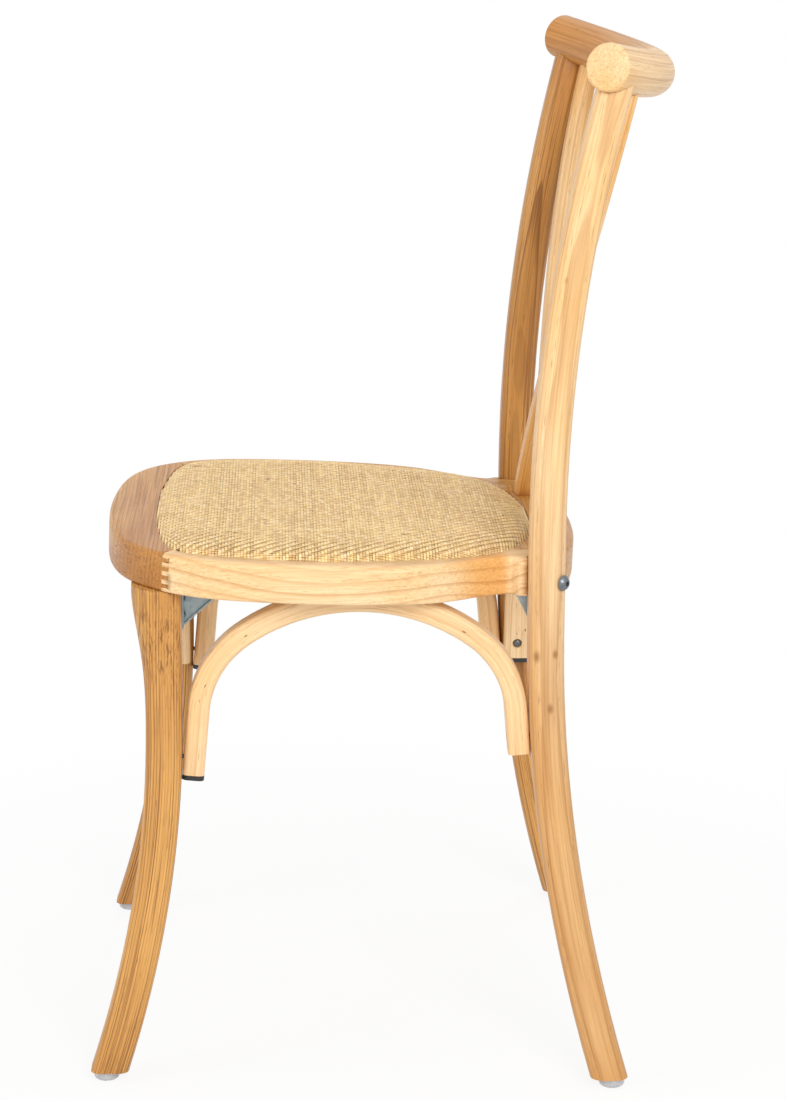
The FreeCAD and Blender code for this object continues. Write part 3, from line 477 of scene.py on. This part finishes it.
def link(name, mesh, material):
    """A new piece in the scene, made of one material."""
    piece = bpy.data.objects.new(name, mesh)
    mesh.materials.clear()
    mesh.materials.append(material)
    bpy.context.scene.collection.objects.link(piece)
    return piece


def grained_copy(node, name, material, local):
    """A merged copy of a node that knows how far each point lies along its bent grain."""
    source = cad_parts[node]
    shape = bmesh.new()
    shape.from_mesh(source.data)
    bmesh.ops.remove_doubles(shape, verts=shape.verts, dist=MERGE_DISTANCE)
    mesh = bpy.data.meshes.new(name)
    shape.to_mesh(mesh)
    shape.free()
    grain = mesh.attributes.new("grain", "FLOAT_VECTOR", "POINT")
    for vertex in mesh.vertices:
        place = source.matrix_world @ vertex.co
        grain.data[vertex.index].vector = Vector(local(*(place / MM))) * MM
    mesh.polygons.foreach_set("use_smooth", [True] * len(mesh.polygons))
    mesh.set_sharp_from_angle(angle=SHARP_ANGLE)
    piece = link(name, mesh, material)
    even = piece.modifiers.new("Even shading", "WEIGHTED_NORMAL")
    even.keep_sharp = True
    even.weight = 60
    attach(piece, "root")
    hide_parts(node)
    return piece


def dress(node, material):
    """Gives a node of the frame its finish and leaves its shape alone."""
    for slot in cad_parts[node].material_slots:
        slot.material = material


class CHAIR_OT_seat_frame(bpy.types.Operator):
    """Rails of the seat frame, with the grain along each rail"""
    bl_idname = "chair.seat_frame"
    bl_label = "Seat frame"

    side_rail_start = (200, -30, 440)   # millimetres, where a side rail's grain starts

    def execute(self, context):
        look = context.scene.chair_wood
        front = wood("front_rail_wood", 3, blend(look.honey, look.tan, 0.40),
                     look.tan, look.umber, ring=3.2,
                     heart=(300, 380), wander=4, vein=0.60, streak=0.45)
        back = wood("back_rail_wood", 11, blend(look.honey, look.tan, 0.30),
                    blend(look.honey, look.tan, 0.75), look.umber, ring=3.0,
                    heart=(300, 240), wander=4, vein=0.45, streak=0.35)
        # Painted shade: the patch tints the near side rail amber in its concave scoop by the back
        # post, where the curved face turns from the light.
        side = wood("side_rail_wood", 5, look.cream, blend(look.cream, look.honey, 0.5),
                    blend(look.tan, look.umber, 0.15), ring=11.0, heart=(30, -130),
                    wander=8, vein=0.60, bend=0.95, streak=0.12,
                    patch=(0.075, 0.112, (0.93, 0.72, 0.45), 0.130, 0.142))
        far = wood("far_rail_wood", 15, look.honey, blend(look.honey, look.tan, 0.6),
                   look.umber, ring=6.0, heart=(30, -130), wander=6, vein=0.5, bend=0.95,
                   streak=0.3)
        grained_copy("seat_front_rail", "front_rail", front, lambda x, y, z: (y, z, x))
        grained_copy("seat_back_rail", "back_rail", back, lambda x, y, z: (y, z, x))
        start_x, start_y, start_z = self.side_rail_start
        for name, sign, material in (("left", 1, side), ("right", -1, far)):
            def along_rail(x, y, z):
                return x * sign - start_x, z - start_z, y - start_y

            grained_copy("seat_side_rail_" + name, "side_rail_" + name, material, along_rail)
        ply = wood("board_wood", 8, look.cream, look.honey, look.tan, ring=40, vein=0.3,
                   straight=True)
        dress("seat_board", ply)
        return {"FINISHED"}


class CHAIR_OT_legs(bpy.types.Operator):
    """Front legs and back posts, with the grain following their bends"""
    bl_idname = "chair.legs"
    bl_label = "Legs and posts"

    def execute(self, context):
        look = context.scene.chair_wood
        lines = Lines()
        leg = wood("front_leg_wood", 21, blend(look.honey, look.tan, 0.28),
                   blend(look.honey, look.tan, 0.75), look.umber, ring=2.4,
                   heart=(60, -260), wander=3.5, vein=1.0, streak=0.72)
        near = wood("near_post_wood", 32, look.cream, blend(look.cream, look.honey, 0.8),
                    blend(look.tan, look.umber, 0.35), ring=6.0, heart=(80, 5),
                    wander=8, vein=0.48, streak=0.24,
                    patch=(0.58, 0.20, (0.74, 0.58, 0.40)),
                    knots=((16, -8, 369, 4.5), (16, 8, 371, 3.5), (16, 3, 324, 4.0),
                           (14, -5, 690, 3.0)))
        far = wood("far_post_wood", 43, blend(look.honey, look.tan, 0.40),
                   blend(look.honey, look.tan, 0.95), look.umber, ring=3.0,
                   heart=(-75, -3), wander=6, vein=0.85, streak=0.60)
        for name, sign, post in (("left", 1, near), ("right", -1, far)):
            def along_leg(x, y, z):
                cx, cy = lines.front_leg(z)
                return x * sign - cx, y - cy, z

            def along_post(x, y, z):
                cx, cy = lines.back_post(z)
                return x * sign - cx, y - cy, z

            grained_copy("front_leg_" + name, "leg_" + name, leg, along_leg)
            grained_copy("back_post_" + name, "post_" + name, post, along_post)
        return {"FINISHED"}


class CHAIR_OT_back(bpy.types.Operator):
    """Crest rail and crossing slats"""
    bl_idname = "chair.back"
    bl_label = "Crest rail and slats"

    slat_length_share = 1.15    # a leaning slat is this much longer than it is high

    def execute(self, context):
        look = context.scene.chair_wood
        lines = Lines()
        # Painted shade: the patch darkens the half of the crest rail away from the camera (-X),
        # fully from 50 mm past its middle.
        crest = wood("crest_wood", 54, look.cream, blend(look.cream, look.honey, 0.7),
                     blend(look.tan, look.umber, 0.4), ring=8.5, heart=(-24, 22),
                     wander=8, vein=0.45, streak=0.24,
                     patch=(0.06, -0.05, (0.68, 0.50, 0.31)), end=0.2145)
        grained_copy("crest_rail", "crest", crest, lines.crest)
        for node, sign, seed in (("cross_slat_front", 1, 65), ("cross_slat_back", -1, 76)):
            slat = wood(node + "_wood", seed, blend(look.cream, look.honey, 0.2),
                        look.honey, blend(look.tan, look.umber, 0.2), ring=4.5,
                        heart=(40, -60), wander=3, vein=0.45, streak=0.2)

            def along_slat(x, y, z):
                cx, cy = lines.slat(z)
                return x * sign - cx, y - cy, z * self.slat_length_share

            grained_copy(node, node.replace("cross_", ""), slat, along_slat)
        return {"FINISHED"}


class CHAIR_OT_arches(bpy.types.Operator):
    """Bentwood arches below the seat, with the grain round their bends"""
    bl_idname = "chair.arches"
    bl_label = "Arches"

    def execute(self, context):
        look = context.scene.chair_wood
        lines = Lines()
        pale = wood("arch_wood", 87, blend(look.cream, (1, 0.85, 0.6), 0.25),
                    blend(look.cream, look.honey, 0.45), look.tan, ring=5.0,
                    heart=(60, 34), wander=2.5, vein=0.34, streak=0.14, specks=0.8)
        half_thickness = lines.arch_thickness / 2
        above_crown = lines.arch_crown_sink - half_thickness
        lean = lines.side_arch_lean
        for name, sign in (("left", 1), ("right", -1)):
            low, high = [corner / MM for corner in map(Vector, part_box("side_arch_" + name))]
            shift = (lines.side_arch_back_end - lines.side_arch_front_end) * math.tan(lean)
            middle = (low.y + high.y + shift) / 2
            crown_z = lines.underside(middle) + above_crown
            arch = Arch(lines, middle - low.y - half_thickness,
                        crown_z - lines.side_arch_front_end, lean)

            def along_side(x, y, z):
                along, out = arch.local(y - middle, z - crown_z)
                return x * sign - lines.side_arch_half_spacing, out, along

            grained_copy("side_arch_" + name, "side_arch_" + name + "_wood", pale, along_side)
        for node, lean, end_z in (
                ("front_arch", math.atan(lines.front_leg_splay), lines.front_arch_end),
                ("rear_arch", lines.rear_arch_lean, lines.rear_arch_end)):
            low, high = [corner / MM for corner in map(Vector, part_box(node))]
            plane = (low.y + high.y) / 2
            crown_z = lines.underside(plane) + above_crown
            arch = Arch(lines, high.x - half_thickness, crown_z - end_z, lean)

            def along_cross(x, y, z):
                along, out = arch.local(x, z - crown_z)
                return y - plane, out, along

            grained_copy(node, node + "_wood", pale, along_cross)
        return {"FINISHED"}


class CHAIR_OT_weave(bpy.types.Operator):
    """Rattan strips woven over and under each other across the seat"""
    bl_idname = "chair.weave"
    bl_label = "Woven seat"

    shade_sheet_drop = 1.2 * MM         # the sheet of painted gap shade lies this far below the CAD weave's surface
    pad_fill = 0.9
    strip_drop = 0.3 * MM       # and a strip's centre line this far
    edge_drop = 0.22 * MM       # a strip's edges are this much lower than its middle
    narrowest = 0.80            # strips vary in width from this share
    width_spread = 0.35         # by up to this much more
    steepness = 6               # power by which the weave goes flat where the pad turns down
    shortest = 6                # a strip with fewer points is left out
    lengthwise_start = 37.0     # gives the two directions different chances

    def execute(self, context):
        look = context.scene.chair_weave
        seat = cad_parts["woven_seat"]
        shape = bmesh.new()
        shape.from_mesh(seat.data)
        surface = BVHTree.FromBMesh(shape)
        shape.free()
        low, high = map(Vector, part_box("woven_seat"))
        middle = (low + high) / 2

        def height(x, y):
            """Height of the pad's surface, and how level it is there."""
            place, normal, _, _ = surface.ray_cast(Vector((x, y, high.z + 0.1)),
                                                   Vector((0, 0, -1)))
            return (place.z, abs(normal.z) ** self.steepness) if place else None

        strips = rattan("rattan_strips", look)
        # Painted shade: a dark sheet just below the strips shows the shadow in the gaps of the
        # weave.
        under = Finish("rattan_shade")
        under.set(Base_Color=under.mix(
            under.noise(under.scaled(under.place(), (300, 300, 300))), look.shade,
            shade(look.shade, 1.6)), Roughness=0.8)
        base = grained_copy("woven_seat", "gap_shade_sheet", under.material,
                            lambda x, y, z: (x, y, z))
        for vertex in base.data.vertices:
            vertex.co.z -= self.shade_sheet_drop

        count_x = int((high.x - low.x) / look.pitch / 2) + 1
        count_y = int((high.y - low.y) / look.pitch / 2) + 1
        for name, lengthwise in (("strips_lengthwise", True), ("strips_crosswise", False)):
            lanes = count_x if lengthwise else count_y
            crossings = count_y if lengthwise else count_x
            # Each half is a piece of its own, so that none has too many faces.
            for part, half in (("a", range(-lanes, 0)), ("b", range(0, lanes + 1))):
                woven = bmesh.new()
                mesh = bpy.data.meshes.new(name)
                for lane in half:
                    strip = self.strip(lane, crossings, lengthwise, height, middle, look)
                    strip.to_mesh(mesh)
                    strip.free()
                    woven.from_mesh(mesh)
                woven.to_mesh(mesh)
                woven.free()
                mesh.polygons.foreach_set("use_smooth", [True] * len(mesh.polygons))
                piece = link(name + "_" + part, mesh, strips)
                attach(piece, "root")
        return {"FINISHED"}

    def strip(self, lane, crossings, lengthwise, height, middle, look):
        """One strip, with three points across it and two for each crossing."""
        woven = bmesh.new()
        tone = woven.verts.layers.float_vector.new("strip")
        steps = []
        for step in range(-2 * crossings, 2 * crossings + 1):
            run = step * look.pitch / 2
            off = lane * look.pitch
            x, y = (off, run) if lengthwise else (run, off)
            top = height(middle.x + x, middle.y + y)
            if top is not None:
                steps.append((step, x, y, *top))
        if len(steps) < self.shortest:
            return woven
        count = len(steps) - 1
        grid = bmesh.ops.create_grid(woven, x_segments=count, y_segments=2, size=1.0)
        chance = scatter(lane, self.lengthwise_start if lengthwise else 0.0)
        for vertex in grid["verts"]:
            index = round((vertex.co.x + 1) / 2 * count)
            across = round(vertex.co.y)
            step, x, y, top, level = steps[index]
            # Over two and under two, one further in each lane.
            weave = 0.0
            for near in {math.floor(step / 2), math.ceil(step / 2)}:
                place = near + lane if lengthwise else near + lane + 2
                weave += 1.0 if place % 4 < 2 else -1.0
            weave /= 1.0 if step % 2 == 0 else 2.0
            rise = weave * look.rise * level - abs(across) * self.edge_drop * level
            side = across * look.width / 2 * (self.narrowest + self.width_spread * chance)
            if lengthwise:
                x += side
            else:
                y += side
            vertex.co = (middle.x + x, middle.y + y, top + rise - self.strip_drop)
            vertex[tone] = (across, chance, step * look.pitch / 2)
        return woven


def scatter(lane, start):
    """A number from 0 to 1 that looks random and is the same for a lane in every run."""
    value = math.sin(lane * 12.9898 + start) * 43758.5453
    return value - math.floor(value)


def rattan(name, look):
    """Split rattan: pale glossy strips with fine fibres and the odd dark fleck."""
    finish = Finish(name)
    across, chance, along = finish.parts(finish.place("strip"))
    place = finish.place()
    fibre = finish.noise(finish.joined(across * 3.0, chance * 40, along * 90))
    cloud = finish.noise(finish.scaled(place, (28, 28, 28)), detail=3)
    tint = finish.noise(finish.joined(chance * 57, 0.0, along * 14), detail=1)
    dash = finish.noise(finish.joined(chance * 91, 3.0, along * 75), detail=1)
    fleck = finish.noise(finish.scaled(place, (75, 75, 75)), detail=1).ramp(0.755, 0.78)
    body = finish.mix(tint.ramp(0.35, 0.65), shade(look.straw, 1.14), shade(look.straw, 0.74))
    body = finish.mix(dash.ramp(0.52, 0.62) * 0.65, body, (1.0, 0.80, 0.50))
    body = finish.mix(dash.ramp(0.42, 0.32) * 0.38, body, shade(look.straw, 0.48))
    body = finish.mix(cloud.ramp(0.45, 0.75) * 0.25, body, shade(look.straw, 0.72))
    body = finish.mix(fibre.ramp(0.40, 0.75) * 0.35, body, shade(look.straw, 0.55))
    # Painted shade: each strip darkens towards the gap shade at its edges, where it dips beside
    # its neighbours, more so along the dark dashes.
    body = finish.mix(across.size().ramp(0.6, 1.0) * dash.ramp(0.60, 0.40, 0.05, 0.45),
                      body, look.shade)
    body = finish.mix(fleck * 0.85, body, shade(look.shade, 0.4))
    finish.set(Base_Color=body, Roughness=fibre.ramp(0.2, 0.8, 0.42, 0.58),
               Normal=finish.bump(fibre, 0.0001, 0.5))
    return finish.material


class CHAIR_OT_fittings(bpy.types.Operator):
    """Steel brackets, bolts and screws, plastic caps and foot glides"""
    bl_idname = "chair.fittings"
    bl_label = "Fittings"

    def execute(self, context):
        sheet = self.steel("galvanised_sheet", (0.36, 0.43, 0.45), 0.42, 60)
        zinc = self.steel("zinc_plate", (0.17, 0.185, 0.20), 0.35, 400)
        for side in ("left", "right"):
            dress("front_bracket_" + side, sheet)
            dress("rear_bracket_" + side, sheet)
            dress("post_bolt_" + side, zinc)
        for node in ("arch_end_screws", "arch_crown_screws", "bracket_screws",
                     "seat_board_screws", "cross_slat_screw", "bolt_inserts"):
            dress(node, zinc)
        cap = Finish("cap_plastic")
        grain = cap.noise(cap.scaled(cap.place(), (900, 900, 900)))
        cap.set(Base_Color=cap.mix(grain, (0.012, 0.012, 0.013), (0.03, 0.03, 0.03)),
                Roughness=grain.ramp(0.2, 0.8, 0.45, 0.6), Normal=cap.bump(grain, 0.0001, 0.4))
        dress("arch_end_caps", cap.material)
        glide = Finish("glide_plastic")
        cloud = glide.noise(glide.scaled(glide.place(), (250, 250, 250)))
        glide.set(Base_Color=glide.mix(cloud, (0.62, 0.63, 0.66), (0.78, 0.79, 0.80)),
                  Roughness=cloud.ramp(0.2, 0.8, 0.25, 0.4), Transmission_Weight=0.35)
        for node in ("front_glide_left", "front_glide_right", "rear_glide_left",
                     "rear_glide_right"):
            dress(node, glide.material)
        return {"FINISHED"}

    def steel(self, name, tone, roughness, scale):
        """Zinc with its frosty crystals."""
        steel = Finish(name)
        crystals = steel.node("ShaderNodeTexVoronoi", None,
                              {"Vector": steel.place(), "Scale": scale * 3}, output="Color")
        bright, _, _ = steel.parts(crystals)
        haze = steel.noise(steel.scaled(steel.place(), (scale,) * 3), detail=3)
        body = steel.mix(bright * 0.5, shade(tone, 0.85), shade(tone, 1.35))
        body = steel.mix(haze.ramp(0.4, 0.8) * 0.4, body, shade(tone, 1.5))
        steel.set(Base_Color=body, Metallic=0.85,
                  Roughness=haze.ramp(0.2, 0.8, roughness - 0.08, roughness + 0.14),
                  Normal=steel.bump(haze, 0.00008, 0.5))
        return steel.material


class CHAIR_OT_stage(bpy.types.Operator):
    """Pale floor, soft studio light and the camera"""
    bl_idname = "chair.stage"
    bl_label = "Stage"

    floor_radius = 12.0
    floor_drop = 0.0002         # keeps the floor clear of the glides' soles
    sensor_width = 36.0
    lamp_aim = (0, 0, 0.45)
    lamp_list = (               # name, place, size and power
        ("key", (2.7, 0.7, 1.9), 1.6, 58.0),
        ("fill", (1.2, -2.6, 1.4), 1.8, 24.0),
        ("top", (-0.6, 0.2, 3.0), 2.0, 13.0))

    def execute(self, context):
        look = context.scene.chair_stage
        self.floor()
        self.world(look)
        self.lamps()
        self.camera(look)
        context.scene.view_settings.view_transform = "Standard"
        return {"FINISHED"}

    def seen(self, tree):
        """Rays that show the white surroundings: the camera's, and those in gloss and glass."""
        camera, glossy, through = (
            tree.node("ShaderNodeLightPath", output=ray)
            for ray in ("Is Camera Ray", "Is Glossy Ray", "Is Transmission Ray"))
        return camera.maths("MAXIMUM", glossy).maths("MAXIMUM", through)

    def floor(self):
        plain = bmesh.new()
        bmesh.ops.create_circle(plain, cap_ends=True, segments=96, radius=self.floor_radius)
        bmesh.ops.translate(plain, verts=plain.verts, vec=(0, 0, -self.floor_drop))
        mesh = bpy.data.meshes.new("floor")
        plain.to_mesh(mesh)
        plain.free()
        finish = Finish("white_floor")
        finish.set(Base_Color=(0.86, 0.86, 0.86), Roughness=0.9)
        x, y, _ = finish.parts(finish.place())
        away = (x * x + y * y).root().ramp(0.30, 0.95, 0.88, 1.0)
        glow = finish.node("ShaderNodeEmission", None, {"Color": (1, 1, 1), "Strength": 1.0})
        mixed = finish.node("ShaderNodeMixShader", None, {
            0: away * self.seen(finish), 1: Wire(finish, finish.shader.outputs[0]), 2: glow})
        finish.feed(finish.nodes["Material Output"].inputs["Surface"], mixed)
        link("floor", mesh, finish.material)

    def world(self, look):
        world = bpy.data.worlds.new("studio")
        world.use_nodes = True
        bpy.context.scene.world = world
        tree = Tree(world.node_tree)
        light = tree.nodes["Background"]
        tree.feed(light.inputs["Color"], (1.0, 0.99, 0.97))
        tree.feed(light.inputs["Strength"], look.world_light)
        white = tree.node("ShaderNodeBackground", None, {"Color": (1, 1, 1), "Strength": 1.0})
        mixed = tree.node("ShaderNodeMixShader", None, {
            0: self.seen(tree), 1: Wire(tree, light.outputs[0]), 2: white})
        tree.feed(tree.nodes["World Output"].inputs["Surface"], mixed)

    def lamps(self):
        target = Vector(self.lamp_aim)
        for name, place, size, power in self.lamp_list:
            data = bpy.data.lights.new(name, "AREA")
            data.shape = "DISK"
            data.size = size
            data.energy = power
            lamp = bpy.data.objects.new(name, data)
            lamp.location = place
            lamp.rotation_euler = (target - Vector(place)).to_track_quat("-Z", "Y").to_euler()
            bpy.context.scene.collection.objects.link(lamp)

    def camera(self, look):
        data = bpy.data.cameras.new("camera")
        data.sensor_width = self.sensor_width
        data.lens = look.lens
        camera = bpy.data.objects.new("camera", data)
        turn = (Matrix.Rotation(look.azimuth, 4, "Z")
                @ Matrix.Rotation(math.pi / 2 - look.elevation, 4, "X")
                @ Matrix.Rotation(look.roll, 4, "Z"))
        camera.matrix_world = Matrix.Translation(Vector(look.place)) @ turn
        bpy.context.scene.collection.objects.link(camera)
        bpy.context.scene.camera = camera


OPERATORS = (
    CHAIR_OT_seat_frame,
    CHAIR_OT_legs,
    CHAIR_OT_back,
    CHAIR_OT_arches,
    CHAIR_OT_weave,
    CHAIR_OT_fittings,
    CHAIR_OT_stage,
)


class CHAIR_PT_pieces(bpy.types.Panel):
    """Pieces of the chair"""
    bl_idname = "CHAIR_PT_pieces"
    bl_label = "Cross back chair"
    bl_space_type = "VIEW_3D"
    bl_region_type = "UI"
    bl_category = "Chair"

    def draw(self, context):
        for operator in OPERATORS:
            self.layout.operator(operator.bl_idname)


CLASSES = (WoodSettings, WeaveSettings, StageSettings, *OPERATORS, CHAIR_PT_pieces)


def register():
    for item in CLASSES:
        bpy.utils.register_class(item)
    bpy.types.Scene.chair_wood = bpy.props.PointerProperty(type=WoodSettings)
    bpy.types.Scene.chair_weave = bpy.props.PointerProperty(type=WeaveSettings)
    bpy.types.Scene.chair_stage = bpy.props.PointerProperty(type=StageSettings)


def unregister():
    del bpy.types.Scene.chair_wood
    del bpy.types.Scene.chair_weave
    del bpy.types.Scene.chair_stage
    for item in reversed(CLASSES):
        bpy.utils.unregister_class(item)


def main():
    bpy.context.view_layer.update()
    register()
    for operator in OPERATORS:
        group, name = operator.bl_idname.split(".")
        getattr(getattr(bpy.ops, group), name)()


if __name__ == "__main__":
    main()
